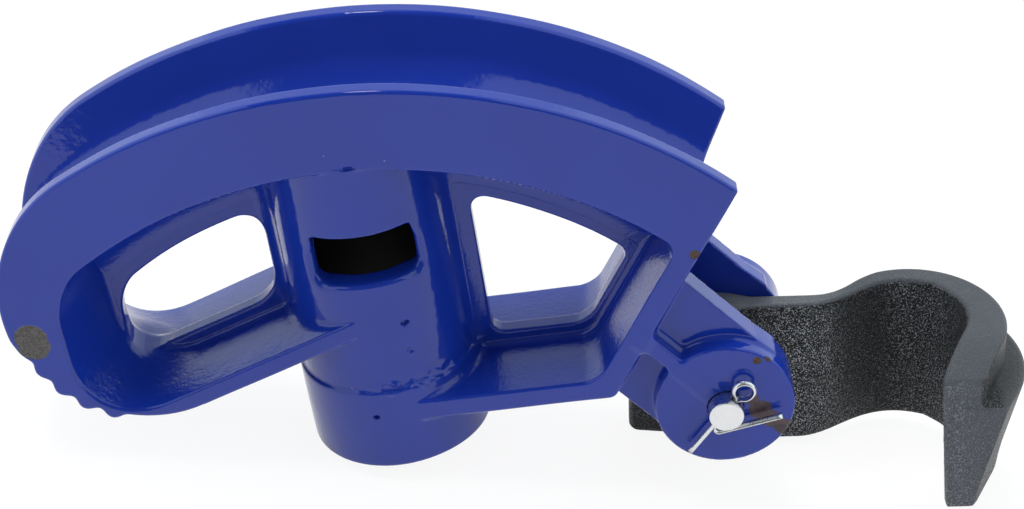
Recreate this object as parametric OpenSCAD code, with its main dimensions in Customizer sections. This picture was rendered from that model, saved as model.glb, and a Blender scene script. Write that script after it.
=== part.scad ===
// Head of a hand tube bender: a cast bending shoe with a socket for a pipe handle,
// and a cast hook that swings on a clevis pin held by a split pin.
// The origin is the centre of the socket's mouth. +Z runs up the socket to the groove,
// +X points to the hook, and the front of the head faces -Y. Sizes are in millimetres.

/* [Tube and groove] */
// Outside diameter of the tube that the head bends
tube_d = 31.75; // [29:0.05:33]
// Clearance between the tube and the groove, on the radius
tube_clear = 0.3; // [0.1:0.05:0.8]
// Radius of the bottom of the groove
bend_r = 131; // [127:0.5:135]
// Height of the flanges above the bottom of the groove
flange_h = 19; // [17.5:0.5:20.5]
// How far each groove wall opens out at the rim
groove_flare = 2.7; // [2:0.1:3.5]
// Width of the crest of each flange
crest_w = 5.4; // [4.5:0.1:6.5]
// Chamfer on the outer edge of each crest
rim_break = 1.2; // [0.5:0.1:2]
// Direction of the groove's hook end, seen from the centre of the bend
end_angle = 45.3; // [44:0.1:48]

/* [Shoe] */
// Centre of the bend, to the side of the socket's axis
arc_x = -4.4; // [-6:0.1:-2]
// Centre of the bend, above the socket's mouth
arc_z = -31; // [-34:0.5:-28]
// Height of the side band that runs along the rim
band_h = 23.5; // [22.5:0.5:26]
// Thickness of the web between the two sides
web_t = 6.5; // [5:0.5:9]
// Radius of the nose at the toe
nose_r = 47; // [44:0.5:50]
// Direction of the nose's start, seen from the centre of the bend
nose_angle = 116.9; // [115:0.1:119]
// Radius of the heel below the nose
heel_r = 33.5; // [31:0.5:36]
// How far the heel stands back from the nose
heel_in = 3.5; // [2:0.1:5]
// How far the heel's centre lies below the nose's centre
heel_drop = 2.2; // [0:0.1:4]
// Number of anti-slip ridges on the heel
ridge_n = 5; // [3:1:6]
// Radius of each ridge
ridge_r = 2; // [1.5:0.1:2.5]
// Angle from ridge to ridge
ridge_step = 13.3; // [12:0.1:15]
// Direction of the lowest ridge, seen from the heel's centre
ridge_first = 246; // [240:1:250]
// Thickness of the toe's wall at the pocket
toe_wall = 15.2; // [13:0.1:18]
// Radius of the pocket's end at the toe
toe_pocket_r = 23.5; // [21:0.5:25]
// Thickness of the lower rib on the toe side
toe_rib_t = 5.5; // [4.5:0.1:7]
// Slope of that rib
toe_rib_slope = 19.4; // [18:0.1:21]
// Height of that rib's underside at the socket's axis
toe_rib_z = 44.7; // [42:0.1:48]
// Thickness of the lower rib on the hook side
hook_rib_t = 6.3; // [5:0.1:8]
// Height of that rib's underside
hook_rib_z = 14; // [12:0.5:17]
// Thickness of the end bar
bar_t = 6.5; // [5.5:0.1:8]
// Slope of the end bar
bar_slope = 57.5; // [56:0.1:59]

/* [Windows] */
// Web left between the band and each window
window_top = 18.5; // [16:0.5:20]
// Web left between each lower rib and its window
window_low = 5.6; // [4:0.1:7]
// Web left between the toe window and the socket
window_toe_gap = 2.7; // [2:0.1:4]
// Web left between the hook window and the socket
window_hook_gap = 6.1; // [5:0.1:8]
// Web left between the toe pocket's end and its window
window_end = 12.1; // [10:0.1:14]
// Radius of the toe window's round end
window_end_r = 9.2; // [8:0.1:10]
// Web left between the end bar and its window
window_bar = 4.6; // [3.5:0.1:6]

/* [Socket] */
// Outside diameter of the pipe handle
handle_d = 33.4; // [30:0.1:35]
// Clearance between the handle and its socket, on the radius
handle_clear = 0.2; // [0.1:0.05:0.5]
// Wall of the socket at its mouth
socket_wall = 8.6; // [7.5:0.1:10]
// How much narrower the socket is at its top than at its collar, on the radius
socket_taper = 1; // [0.4:0.1:2]
// Height of the collar at the mouth
collar_h = 25.5; // [22:0.5:30]
// Step from the collar to the upper socket, on the radius
collar_step = 0.9; // [0.4:0.1:1.4]
// Depth of the bore up to the slot
slot_z = 59.5; // [57:0.5:62]
// Height of the sight slot
slot_h = 15.5; // [12:0.5:18]
// Width of the sight slot
slot_w = 27; // [22:0.5:29]
// How far the slot lies towards the hook
slot_x = 1.3; // [0:0.1:2]

/* [Clevis] */
// Diameter of the clevis pin
pin_d = 9.5; // [8:0.1:11]
// Running clearance of the pin, on the radius
pin_clear = 0.06; // [0.03:0.01:0.09]
// Pin to the side of the socket's axis
pin_x = 91.3; // [90:0.1:93]
// Pin above the socket's mouth
pin_z = 7.5; // [6:0.1:9]
// Width of the gap between the ears
ear_gap = 27; // [26:0.1:29]
// Thickness of each ear's plate
ear_t = 5.7; // [5:0.1:7]
// How much further the front ear reaches in than the rear one
ear_front_in = 2.2; // [1:0.1:3]
// Radius of the round boss on each ear
boss_r = 19.2; // [18:0.1:20]
// Slope of the ears
ear_slope = 51; // [50:0.1:52]
// Width of the spine on each ear
spine_w = 4.8; // [4:0.1:6]

/* [Hook] */
// How far the hook droops when its tail rests on the end bar
hook_droop = 6; // [5:0.1:7]
// Height of the hook along the tube
hook_h = 47.2; // [44:0.1:50]
// Height of the hook's top above the pin
hook_top = 12.1; // [11.9:0.1:12.5]
// Radius of the hook's eye
eye_r = 12; // [11:0.1:12.3]
// Clearance of the hook on each side between the ears
hook_side = 0.3; // [0.2:0.05:0.5]
// Thickness of the hook's arm
arm_t = 7.7; // [6.5:0.1:9]
// Clearance between the tube and the hook's saddle, on the radius
saddle_clear = 0.7; // [0.3:0.1:1.2]
// Thickness of the saddle's back
back_t = 6.6; // [5.5:0.1:7]
// Thickness of the saddle's outer side
side_t = 10.6; // [9:0.1:12]
// Lean of the leg's inner face
leg_lean = 17; // [15:0.5:18]
// Lean of the leg's outer face
leg_taper = 27; // [25:0.5:29]
// How far the leg reaches to the front
leg_reach = 26.5; // [24:0.5:28]
// How far the outer rib stands out
fin_out = 6.2; // [5:0.1:7.5]
// Height of the outer rib's top below the pin
fin_top = 4; // [2:0.5:7]
// Where the outer rib starts, round the saddle
fin_start = 48; // [30:1:55]
// Clearance between the tail and the end bar at rest
stop_clear = 0.3; // [0.2:0.05:0.5]
// Rise of the tail's underside above the arm's underside
tail_rise = 4; // [2:0.1:6]

/* [Pins] */
// Diameter of the clevis pin's head
head_d = 15; // [13:0.5:17]
// Thickness of the clevis pin's head
head_t = 3; // [2:0.1:4]
// Chamfer at the clevis pin's end
pin_break = 0.6; // [0.3:0.1:1]
// How far the clevis pin stands out of the front boss
pin_out = 5.1; // [4.5:0.1:6]
// Thickness of the split pin's wire
wire_d = 1.5; // [1.2:0.1:1.6]
// Clearance of the split pin in its hole, on the radius
split_clear = 0.15; // [0.1:0.05:0.3]
// Gap between the front boss and the split pin
split_gap = 1.2; // [0.8:0.1:1.6]
// Direction of the split pin through the clevis pin
split_angle = 49; // [45:1:53]
// Radius of the split pin's eye
loop_r = 3.2; // [2.8:0.1:3.8]
// Gap between the clevis pin and the split pin's eye
loop_gap = 0.4; // [0.2:0.1:0.8]
// Length of the straight leg past the clevis pin
leg_straight = 11.8; // [9:0.1:13]
// Length of the bent leg
leg_bent = 18.3; // [14:0.1:20]
// Bend radius of the bent leg
leg_bend_r = 1.6; // [1.4:0.1:2]
// Direction of the bent leg
leg_bent_angle = 9.8; // [5:0.1:15]

/* [Hidden] */
$fn = 96;
// Overlap that joins two bodies of one casting
join = 1;
// Reach of the cutting shapes past the casting
far = 400;

tube_r = tube_d / 2;
groove_r = tube_r + tube_clear;
rim_r = bend_r + flange_h;
rim_half = groove_r + groove_flare;
half_t = rim_half + crest_w;
band_r = rim_r - band_h;
web_half = web_t / 2;
arc_c = [arc_x, arc_z];
ridge_sink = ridge_r / 10;

// A point at an angle and a distance from a centre
function polar(centre, angle, r) = centre + r * [cos(angle), sin(angle)];
// The height of a sloping line at x
function line_z(z0, slope, x) = z0 + x * tan(slope);

// The nose stands out past the rim by this much, so that the two rounds cross at a crease
nose_out = 0.5;
nose_c = polar(arc_c, nose_angle, rim_r - nose_r + nose_out);
nose_left = nose_c.x - nose_r;
heel_c = [nose_left + heel_in + heel_r, nose_c.y - heel_drop];
heel_low = heel_c.y - heel_r;
// Where the nose gives way to the heel, below the heel's centre in heel radii
nose_share = 0.4;
nose_low = heel_c.y - heel_r * nose_share;
toe_rib_foot = (heel_low - toe_rib_z) / tan(toe_rib_slope);
toe_rib_lift = toe_rib_t / cos(toe_rib_slope);
toe_pocket_c = [nose_left + toe_wall + toe_pocket_r, heel_low + toe_rib_lift + toe_pocket_r];

end_corner = polar(arc_c, end_angle, rim_r);
bar_foot = end_corner - (end_corner.y - hook_rib_z) / sin(bar_slope) * [cos(bar_slope), sin(bar_slope)];
bar_far = polar(end_corner, bar_slope, band_h);
bar_normal = [sin(bar_slope), -cos(bar_slope)];

socket_bore_r = handle_d / 2 + handle_clear;
socket_r = socket_bore_r + socket_wall;
socket_neck_r = socket_r - collar_step;
socket_top_r = socket_neck_r - socket_taper;
socket_top_z = arc_z + band_r + join;
bore_depth = slot_z + slot_h;

window_r = band_r - window_top;
window_low_z = toe_rib_z + toe_rib_lift + window_low / cos(toe_rib_slope);
window_end_x = toe_pocket_c.x - toe_pocket_r + window_end + window_end_r;
window_end_z = line_z(window_low_z, toe_rib_slope, window_end_x) + window_end_r / cos(toe_rib_slope);
toe_window_x = -(socket_top_r + window_toe_gap);
hook_window_x = socket_top_r + window_hook_gap;
hook_window_z = hook_rib_z + hook_rib_t + window_low;

pin_c = [pin_x, pin_z];
pin_r = pin_d / 2;
pin_hole_r = pin_r + pin_clear;
ear_in = ear_gap / 2;
ear_out = ear_in + ear_t;
ear_along = [cos(ear_slope), -sin(ear_slope)];
ear_across = [sin(ear_slope), cos(ear_slope)];

// The tube's centre line leaves the groove along a tangent, and the saddle lies on it
saddle_x = bend_r + tube_r - (pin_c - arc_c) * [cos(end_angle), sin(end_angle)];
saddle_r = tube_r + saddle_clear;
saddle_c = [saddle_x, 0];
arm_back = ear_in - hook_side;
arm_front = arm_back - arm_t;
shell_r = saddle_r + (back_t + side_t) / 2;
shell_c = saddle_c + [side_t - shell_r + saddle_r, back_t - shell_r + saddle_r];
hook_low = hook_top - hook_h;
// The tail's upper corner meets the end bar when the hook droops
stop_reach = (pin_c - end_corner) * bar_normal - stop_clear;
stop_angle = 180 - (90 - bar_slope) + hook_droop;
tail_len = -(stop_reach - hook_top * sin(stop_angle)) / cos(stop_angle);
tail_low = hook_low + tail_rise;
tail_corner = 3;
// The leg's faces start just inside the round faces, so that they meet at a crease
leg_sink = 0.2;
leg_in_start = polar(saddle_c, -leg_lean, saddle_r - leg_sink);
leg_in_far = leg_in_start - leg_reach * [tan(leg_lean), 1];
leg_out_start = polar(shell_c, -leg_taper, shell_r - leg_sink);
leg_out_far = leg_out_start - leg_reach * [tan(leg_taper), 1];
sweep_angle = 35;
sweep_end = polar(shell_c, 90 + sweep_angle, shell_r - leg_sink);
// Where the arm's back starts to sweep out to the shell, in eye radii
sweep_share = 1.8;
sweep_start = [eye_r * sweep_share, arm_back - join];

wire_r = wire_d / 2;
// The two half-round legs lie pressed together in the hole and make one round shank
shank_share = 0.9;
shank_r = wire_d * shank_share;
// Depth of each leg inside that shank, in wire radii
leg_share = 1.1;
leg_v = shank_r - wire_r * leg_share;
shank_end = pin_r + wire_d;
split_hole_r = shank_r + split_clear;
split_y = -(half_t + split_gap + shank_r);
loop_u = pin_r + loop_gap + loop_r;
bend_u = pin_r + wire_r;
// The bent leg starts inside its bend, a little thinner
leg_slim = 0.04;

module slab(y0, y1) {
    translate([0, y1, 0]) rotate([90, 0, 0]) linear_extrude(y1 - y0) children();
}

module both_sides() {
    children();
    mirror([0, 1, 0]) children();
}

// A cylinder along Y
module rod(r, y0, y1) {
    translate([0, y1, 0]) rotate([90, 0, 0]) cylinder(r = r, h = y1 - y0);
}

// The side outline of the casting, without the ears
module shoe_outline() {
    intersection() {
        translate(arc_c) circle(rim_r, $fn = 240);
        polygon([
            bar_foot,
            bar_far,
            polar(arc_c, nose_angle, rim_r + far),
            nose_c,
            heel_c,
            [heel_c.x, heel_low],
            [toe_rib_foot, heel_low],
            [0, toe_rib_z],
            [0, hook_rib_z]
        ]);
    }
    difference() {
        translate(nose_c) circle(nose_r, $fn = 180);
        translate([nose_c.x - far, nose_low - far]) square([2 * far, far]);
    }
    translate(heel_c) circle(heel_r, $fn = 180);
    for (i = [0:ridge_n - 1])
        translate(polar(heel_c, ridge_first - i * ridge_step, heel_r - ridge_sink)) circle(ridge_r, $fn = 32);
}

// The recess in each side between the band, the toe rib and the socket
module toe_pocket() {
    intersection() {
        translate(arc_c) circle(band_r, $fn = 240);
        union() {
            polygon([
                [toe_pocket_c.x - toe_pocket_r, toe_pocket_c.y],
                [toe_pocket_c.x, toe_pocket_c.y - toe_pocket_r],
                [toe_rib_foot, heel_low + toe_rib_lift],
                [0, toe_rib_z + toe_rib_lift],
                [0, far],
                [toe_pocket_c.x - toe_pocket_r, far]
            ]);
            translate(toe_pocket_c) circle(toe_pocket_r);
        }
    }
}

// The recess in each side between the band, the end bar and the socket
module hook_pocket() {
    inner = end_corner - bar_t * bar_normal;
    intersection() {
        translate(arc_c) circle(band_r, $fn = 240);
        polygon([
            [0, hook_rib_z + hook_rib_t],
            inner - (inner.y - hook_rib_z - hook_rib_t) / sin(bar_slope) * [cos(bar_slope), sin(bar_slope)],
            polar(inner, bar_slope, band_h),
            [0, far]
        ]);
    }
}

module toe_window() {
    intersection() {
        translate(arc_c) circle(window_r, $fn = 240);
        union() {
            polygon([
                [window_end_x - window_end_r, window_end_z],
                [window_end_x, window_end_z],
                polar([window_end_x, window_end_z], toe_rib_slope - 90, window_end_r),
                [toe_window_x, line_z(window_low_z, toe_rib_slope, toe_window_x)],
                [toe_window_x, far],
                [window_end_x - window_end_r, far]
            ]);
            translate([window_end_x, window_end_z]) circle(window_end_r);
        }
    }
}

module hook_window() {
    inner = end_corner - (bar_t + window_bar) * bar_normal;
    intersection() {
        translate(arc_c) circle(window_r, $fn = 240);
        polygon([
            [hook_window_x, hook_window_z],
            inner - (inner.y - hook_window_z) / sin(bar_slope) * [cos(bar_slope), sin(bar_slope)],
            polar(inner, bar_slope, band_h),
            [hook_window_x, far]
        ]);
    }
}

// The plate of one ear: a strip from the end bar, as wide as the boss
module ear_plate() {
    back = end_corner - bar_t / 2 * bar_normal;
    intersection() {
        polygon([
            pin_c + boss_r * ear_across,
            pin_c - boss_r * ear_across,
            pin_c - boss_r * ear_across - far * ear_along,
            pin_c + boss_r * ear_across - far * ear_along
        ]);
        polygon([
            polar(back, bar_slope, far),
            polar(back, bar_slope, -far),
            polar(back, bar_slope, -far) + far * bar_normal,
            polar(back, bar_slope, far) + far * bar_normal
        ]);
    }
    translate(pin_c) circle(boss_r);
}

// The raised spine from the end bar to the boss
module ear_spine() {
    reach = ((pin_c - end_corner) * bar_normal + bar_t / 2) / (ear_along * bar_normal);
    polygon([
        pin_c + spine_w / 2 * ear_across,
        pin_c - spine_w / 2 * ear_across,
        pin_c - spine_w / 2 * ear_across - reach * ear_along,
        pin_c + spine_w / 2 * ear_across - reach * ear_along
    ]);
}

module ears() {
    both_sides() {
        slab(ear_in, ear_out) ear_plate();
        slab(ear_in, half_t) translate(pin_c) circle(boss_r);
        slab(ear_out - join, half_t) ear_spine();
    }
    slab(-ear_in - join, ear_front_in - ear_in) {
        ear_plate();
        translate(pin_c) circle(boss_r);
    }
}

module socket() {
    rotate_extrude() polygon([
        [0, 0],
        [socket_r, 0],
        [socket_r, collar_h],
        [socket_neck_r, collar_h],
        [socket_top_r, socket_top_z],
        [0, socket_top_z]
    ]);
}

// The groove that the tube lies in, all round the centre of the bend
module groove() {
    centre_r = bend_r + groove_r;
    // Where the round bottom turns into the straight walls
    wall_angle = 60;
    wall_r = centre_r - groove_r * cos(wall_angle);
    wall_half = groove_r * sin(wall_angle);
    open_r = rim_r + join;
    open_half = wall_half + (rim_half - wall_half) * (open_r - wall_r) / (rim_r - wall_r);
    translate([arc_x, 0, arc_z]) rotate([90, 0, 0]) rotate_extrude($fn = 240) {
        translate([centre_r, 0]) circle(groove_r);
        polygon([[wall_r, -wall_half], [open_r, -open_half], [open_r, open_half], [wall_r, wall_half]]);
    }
}

// The chamfer along the outer edge of each crest
module rim_chamfer() {
    translate([arc_x, 0, arc_z]) rotate([90, 0, 0]) both_rims() rotate_extrude($fn = 240) polygon([
        [rim_r - rim_break, half_t + join],
        [rim_r - rim_break, half_t],
        [rim_r, half_t - rim_break],
        [rim_r + join, half_t - rim_break],
        [rim_r + join, half_t + join]
    ]);
}

module both_rims() {
    children();
    mirror([0, 0, 1]) children();
}

module bending_shoe() {
    color([0.18, 0.22, 0.52]) difference() {
        union() {
            difference() {
                slab(-half_t, half_t) shoe_outline();
                both_sides() slab(web_half, half_t + join) {
                    toe_pocket();
                    hook_pocket();
                }
                slab(-half_t, half_t) {
                    toe_window();
                    hook_window();
                }
            }
            socket();
            ears();
        }
        groove();
        rim_chamfer();
        translate([0, 0, -join]) cylinder(r = socket_bore_r, h = bore_depth + join);
        translate([slot_x - slot_w / 2, -socket_r - join, slot_z]) cube([slot_w, socket_r + join, slot_h]);
        translate([pin_x, 0, pin_z]) rod(pin_hole_r, -half_t - join, half_t + join);
    }
}

// A prism along the tube, as high as the hook, or longer by more at each end
module upright(more = 0) {
    translate([0, 0, hook_low - more]) linear_extrude(hook_h + 2 * more) children();
}

// The hook's arm, and the round shell and leg before the saddle is cut
module hook_body() {
    upright() translate([-tail_len, arm_front]) square([tail_len + saddle_x, arm_t]);
    upright() polygon([sweep_start, [saddle_x, arm_front + join], shell_c + [join, 0], sweep_end]);
    upright() translate(shell_c) circle(shell_r);
    upright() polygon([shell_c, leg_out_start, leg_out_far, leg_in_far]);
    hook_fin();
}

// The space that the tube lies in, the open front, and the underside of the tail
module hook_space() {
    upright(join) translate(saddle_c) circle(saddle_r);
    upright(join) polygon([[-far, arm_front], [saddle_x, arm_front], leg_in_start, leg_in_far, [-far, leg_in_far.y]]);
    upright(join) translate([-far, -leg_reach - far]) square([2 * far, far]);
    slab(-far, far) polygon([
        [eye_r, hook_low],
        [-tail_len + tail_corner, tail_low],
        [-tail_len, tail_low + tail_corner],
        [-tail_len - join, tail_low + tail_corner],
        [-tail_len - join, hook_low - join],
        [eye_r, hook_low - join]
    ]);
}

// The rib round the outside of the saddle and the leg, thinning to nothing at its foot
module hook_fin() {
    fin_section = [
        [shell_r - join, -fin_top],
        [shell_r + fin_out, -fin_top],
        [shell_r - join, hook_low + join]
    ];
    translate([shell_c.x, shell_c.y, 0]) rotate([0, 0, -leg_taper]) {
        rotate_extrude(angle = leg_taper + fin_start) polygon(fin_section);
        rotate([90, 0, 0]) linear_extrude(leg_reach) polygon(fin_section);
    }
}

module hook() {
    color([0.17, 0.17, 0.18]) translate([pin_x, 0, pin_z]) rotate([0, hook_droop, 0]) difference() {
        union() {
            difference() {
                hook_body();
                hook_space();
            }
            rod(eye_r, ear_front_in - arm_back, arm_back);
        }
        rod(pin_hole_r, -ear_in, ear_in);
    }
}

module clevis_pin() {
    tip = half_t + pin_out;
    color([0.75, 0.76, 0.78]) translate([pin_x, 0, pin_z]) difference() {
        union() {
            rod(pin_r, -tip + pin_break, half_t + join);
            translate([0, -tip, 0]) rotate([-90, 0, 0])
                cylinder(r1 = pin_r - pin_break, r2 = pin_r, h = pin_break);
            rod(head_d / 2, half_t, half_t + head_t);
        }
        translate([0, split_y, 0]) rotate([0, 90 - split_angle, 0])
            cylinder(r = split_hole_r, h = 4 * pin_r, center = true, $fn = 48);
    }
}

// A straight run of the split pin's wire, from one point to another
module wire(r, from, to) {
    run = to - from;
    translate(from) rotate([0, 0, atan2(run.y, run.x)]) rotate([0, 90, 0])
        cylinder(r = r, h = norm(run), $fn = 32);
}

// A bend of the split pin's wire
module wire_bend(centre, r, start, turn) {
    translate(centre) rotate([0, 0, start]) rotate_extrude(angle = turn, $fn = 48)
        translate([r, 0]) circle(wire_r, $fn = 32);
}

// Drawn in a plane whose X runs from the clevis pin to the eye
module split_pin() {
    bend_c = [-bend_u, -leg_v - leg_bend_r];
    bent_turn = leg_bent_angle - split_angle;
    turn = 180 + bent_turn;
    bent_start = polar(bend_c, 90 + turn, leg_bend_r);
    color([0.75, 0.76, 0.78]) translate([pin_x, split_y, pin_z]) rotate([0, -split_angle, 0]) rotate([90, 0, 0]) {
        wire_bend([loop_u, 0], loop_r, 0, 360);
        wire(shank_r, [-shank_end, 0], [loop_u - loop_r, 0]);
        wire(wire_r, [-pin_r - leg_straight, leg_v], [-pin_r, leg_v]);
        wire_bend(bend_c, leg_bend_r, 90, turn);
        wire(wire_r - leg_slim, polar(bent_start, bent_turn, -wire_r), polar(bent_start, bent_turn, leg_bent));
    }
}

bending_shoe();
hook();
clevis_pin();
split_pin();
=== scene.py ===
# %% [markdown]
# # The head of a hand tube bender
# A blue cast shoe carries a deep groove for the tube and a socket for a pipe handle. A black
# cast hook swings on a plated clevis pin, and a split pin keeps that pin in. The solids give every
# place and size. This lesson gives the four pieces the skin of the real ones: cast fillets,
# thick enamel, sand grain and worn spots.

# %% Load the solids
import bpy
import numpy as np
from mathutils import Matrix


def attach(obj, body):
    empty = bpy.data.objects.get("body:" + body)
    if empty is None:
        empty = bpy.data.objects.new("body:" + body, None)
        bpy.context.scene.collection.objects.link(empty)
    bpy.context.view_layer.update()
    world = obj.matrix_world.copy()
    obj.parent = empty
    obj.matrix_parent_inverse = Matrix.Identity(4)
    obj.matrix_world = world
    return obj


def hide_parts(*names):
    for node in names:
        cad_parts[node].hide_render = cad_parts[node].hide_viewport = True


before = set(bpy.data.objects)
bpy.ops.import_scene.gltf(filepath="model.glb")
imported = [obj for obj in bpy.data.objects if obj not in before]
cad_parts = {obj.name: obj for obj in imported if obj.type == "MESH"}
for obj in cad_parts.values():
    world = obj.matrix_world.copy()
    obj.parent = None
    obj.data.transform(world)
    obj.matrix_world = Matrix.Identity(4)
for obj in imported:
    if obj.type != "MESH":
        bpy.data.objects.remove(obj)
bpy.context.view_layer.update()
MM = 0.001

# %% [markdown]
# ## Camera
# The photograph was taken from the front and above with a longish lens. Lens and place were
# worked out from the two round rims, which show as ellipses, and are given here as the
# camera's own three directions and its position in metres.

# %% Camera
RIGHT = np.array([0.99027, 0.0, -0.13917])
UP = np.array([0.1161, 0.5515, 0.8261])
AHEAD = np.array([-0.0768, 0.8342, -0.5461])
EYE = (0.0889, -0.5510, 0.4096)
SENSOR, LENS = 36, 84.73

camera = bpy.data.objects.new("camera", bpy.data.cameras.new("camera"))
bpy.context.scene.collection.objects.link(camera)
camera.data.sensor_fit = "HORIZONTAL"
camera.data.sensor_width = SENSOR
camera.data.lens = LENS
turn = np.eye(4)
turn[:3, 0], turn[:3, 1], turn[:3, 2], turn[:3, 3] = RIGHT, UP, -AHEAD, EYE
camera.matrix_world = Matrix(turn.tolist())
bpy.context.scene.camera = camera
print("camera at", EYE)

# %% [markdown]
# ## Castings as fields
# A casting has a fillet wherever two walls meet and a soft edge wherever a wall ends. Such a
# shape isn't a function of two parameters, and bevels on the plain solids break down where
# several edges meet. A distance field handles it: every point of space gets a number, negative
# inside the metal, and the skin is where that number is zero. Two bodies then join with one
# formula that leaves a round fillet, and a cut leaves a round edge. All lengths in the fields
# are in millimetres.

# %% Ways to join and cut fields
def joined(a, b, r):
    """Union: the smaller field, with a hollow round of radius r where both are near zero."""
    hollow = np.hypot(np.maximum(r - a, 0), np.maximum(r - b, 0))
    return np.maximum(r, np.minimum(a, b)) - hollow


def common(a, b, r):
    """Intersection: the larger field, with an outer round of radius r on the shared edge."""
    bulge = np.hypot(np.maximum(r + a, 0), np.maximum(r + b, 0))
    return np.minimum(-r, np.maximum(a, b)) + bulge


def cut(a, b, r):
    """Body a without body b, with a round of radius r on the edge of the cut."""
    return common(a, -b, r)


def disc(u, v, centre, r):
    """Distance to a circle: the length from its centre, less r."""
    return np.hypot(u - centre[0], v - centre[1]) - r


def past(u, v, point, angle):
    """Distance past a straight line through a point, measured along the direction angle."""
    a = np.radians(angle)
    return (u - point[0]) * np.cos(a) + (v - point[1]) * np.sin(a)


def at_angle(centre, angle, r):
    """The point at an angle and a distance from a centre."""
    return np.array(centre) + r * np.array([np.cos(np.radians(angle)), np.sin(np.radians(angle))])


print("fields: joined, common, cut, disc, past")

# %% [markdown]
# ## From a field to a mesh
# The surface-nets method lays a grid over the piece. Each cell that the zero level crosses gets
# one vertex, and each crossed grid edge gets a quad between the four cells around it. The
# vertices then slide along the field's slope until they lie on the zero level exactly.

# %% Skin of a field
def slope(field, p, h):
    """The field's gradient at the points p: differences over 2h along each axis."""
    steps = np.eye(3) * h
    return np.stack([field(*(p + s).T) - field(*(p - s).T) for s in steps], 1) / (2 * h)


def settled(field, p, rounds=4, reach=0.8):
    """Newton's rule: each point moves by field / slope along the slope, never over reach."""
    for _ in range(rounds):
        g = slope(field, p, 0.05)
        step = g * (field(*p.T) / np.maximum((g * g).sum(1), 0.05))[:, None]
        size = np.linalg.norm(step, axis=1)[:, None]
        p = p - step * np.minimum(1, reach / np.maximum(size, 1e-9))
    return p


def net(field, low, high, pitch):
    """Surface nets over the box from low to high: points and quads, facing outwards."""
    low = np.array(low, float)
    n = np.ceil((np.array(high) - low) / pitch).astype(int) + 1
    x, y, z = np.meshgrid(*[low[i] + pitch * np.arange(n[i]) for i in range(3)], indexing="ij", sparse=True)
    f = np.broadcast_to(field(x, y, z), n)
    inside = f < 0
    corners = np.array([(i, j, k) for i in (0, 1) for j in (0, 1) for k in (0, 1)])
    last = n - 1
    filled = sum(inside[i:last[0] + i, j:last[1] + j, k:last[2] + k].astype(np.int8) for i, j, k in corners)
    mixed = (filled > 0) & (filled < 8)
    cells = np.argwhere(mixed)
    number = np.full(mixed.shape, -1)
    number[mixed] = np.arange(len(cells))
    values = np.stack([f[tuple((cells + c).T)] for c in corners], 1)
    total, hits = np.zeros((len(cells), 3)), np.zeros((len(cells), 1))
    edges = [(a, b) for a in range(8) for b in range(a + 1, 8) if abs(corners[a] - corners[b]).sum() == 1]
    for a, b in edges:
        va, vb = values[:, a], values[:, b]
        crossed = ((va < 0) != (vb < 0))[:, None]
        t = (va / np.where(va == vb, 1, va - vb))[:, None]
        total += crossed * (corners[a] + t * (corners[b] - corners[a]))
        hits += crossed
    quads = []
    for d in range(3):
        e, g = (d + 1) % 3, (d + 2) % 3
        near = np.take(inside, np.arange(last[d]), d)
        at = np.argwhere(near != np.take(inside, np.arange(1, n[d]), d))
        at = at[(at[:, e] > 0) & (at[:, g] > 0) & (at[:, e] < last[e]) & (at[:, g] < last[g])]
        shifts = [(-1, -1), (0, -1), (0, 0), (-1, 0)]
        ring = np.stack([number[tuple((at + np.eye(3, dtype=int)[e] * s + np.eye(3, dtype=int)[g] * t).T)]
                         for s, t in shifts], 1)
        outward = inside[tuple(at.T)]
        quads.append(np.where(outward[:, None], ring, ring[:, ::-1]))
    return low + pitch * (cells + total / hits), np.concatenate(quads)


def fill_mesh(name, points, faces):
    """A new mesh from whole arrays: points in metres, faces with the same corner count."""
    mesh = bpy.data.meshes.new(name)
    mesh.vertices.add(len(points))
    mesh.vertices.foreach_set("co", np.ascontiguousarray(points, np.float32).ravel())
    mesh.loops.add(faces.size)
    mesh.loops.foreach_set("vertex_index", np.ascontiguousarray(faces, np.int32).ravel())
    mesh.polygons.add(len(faces))
    mesh.polygons.foreach_set("loop_start", np.arange(0, faces.size, faces.shape[1], dtype=np.int32))
    mesh.update(calc_edges=True)
    mesh.validate()
    mesh.shade_smooth()
    return mesh


def thinned(points, quads, triangles):
    """Collapses the net to about that many triangles: few on flat walls, many on the rounds."""
    rough = bpy.data.objects.new("rough", fill_mesh("rough", points, quads))
    bpy.context.scene.collection.objects.link(rough)
    thin = rough.modifiers.new("thin", "DECIMATE")
    thin.ratio = min(1.0, triangles / (2 * len(quads)))
    evaluated = rough.evaluated_get(bpy.context.evaluated_depsgraph_get())
    mesh = bpy.data.meshes.new_from_object(evaluated)
    mesh.calc_loop_triangles()
    kept = np.empty(len(mesh.vertices) * 3, np.float32)
    faces = np.empty(len(mesh.loop_triangles) * 3, np.int32)
    mesh.vertices.foreach_get("co", kept)
    mesh.loop_triangles.foreach_get("vertices", faces)
    for used in (mesh, rough.data):
        bpy.data.meshes.remove(used)
    return kept.reshape(-1, 3).astype(float), faces.reshape(-1, 3)


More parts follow.
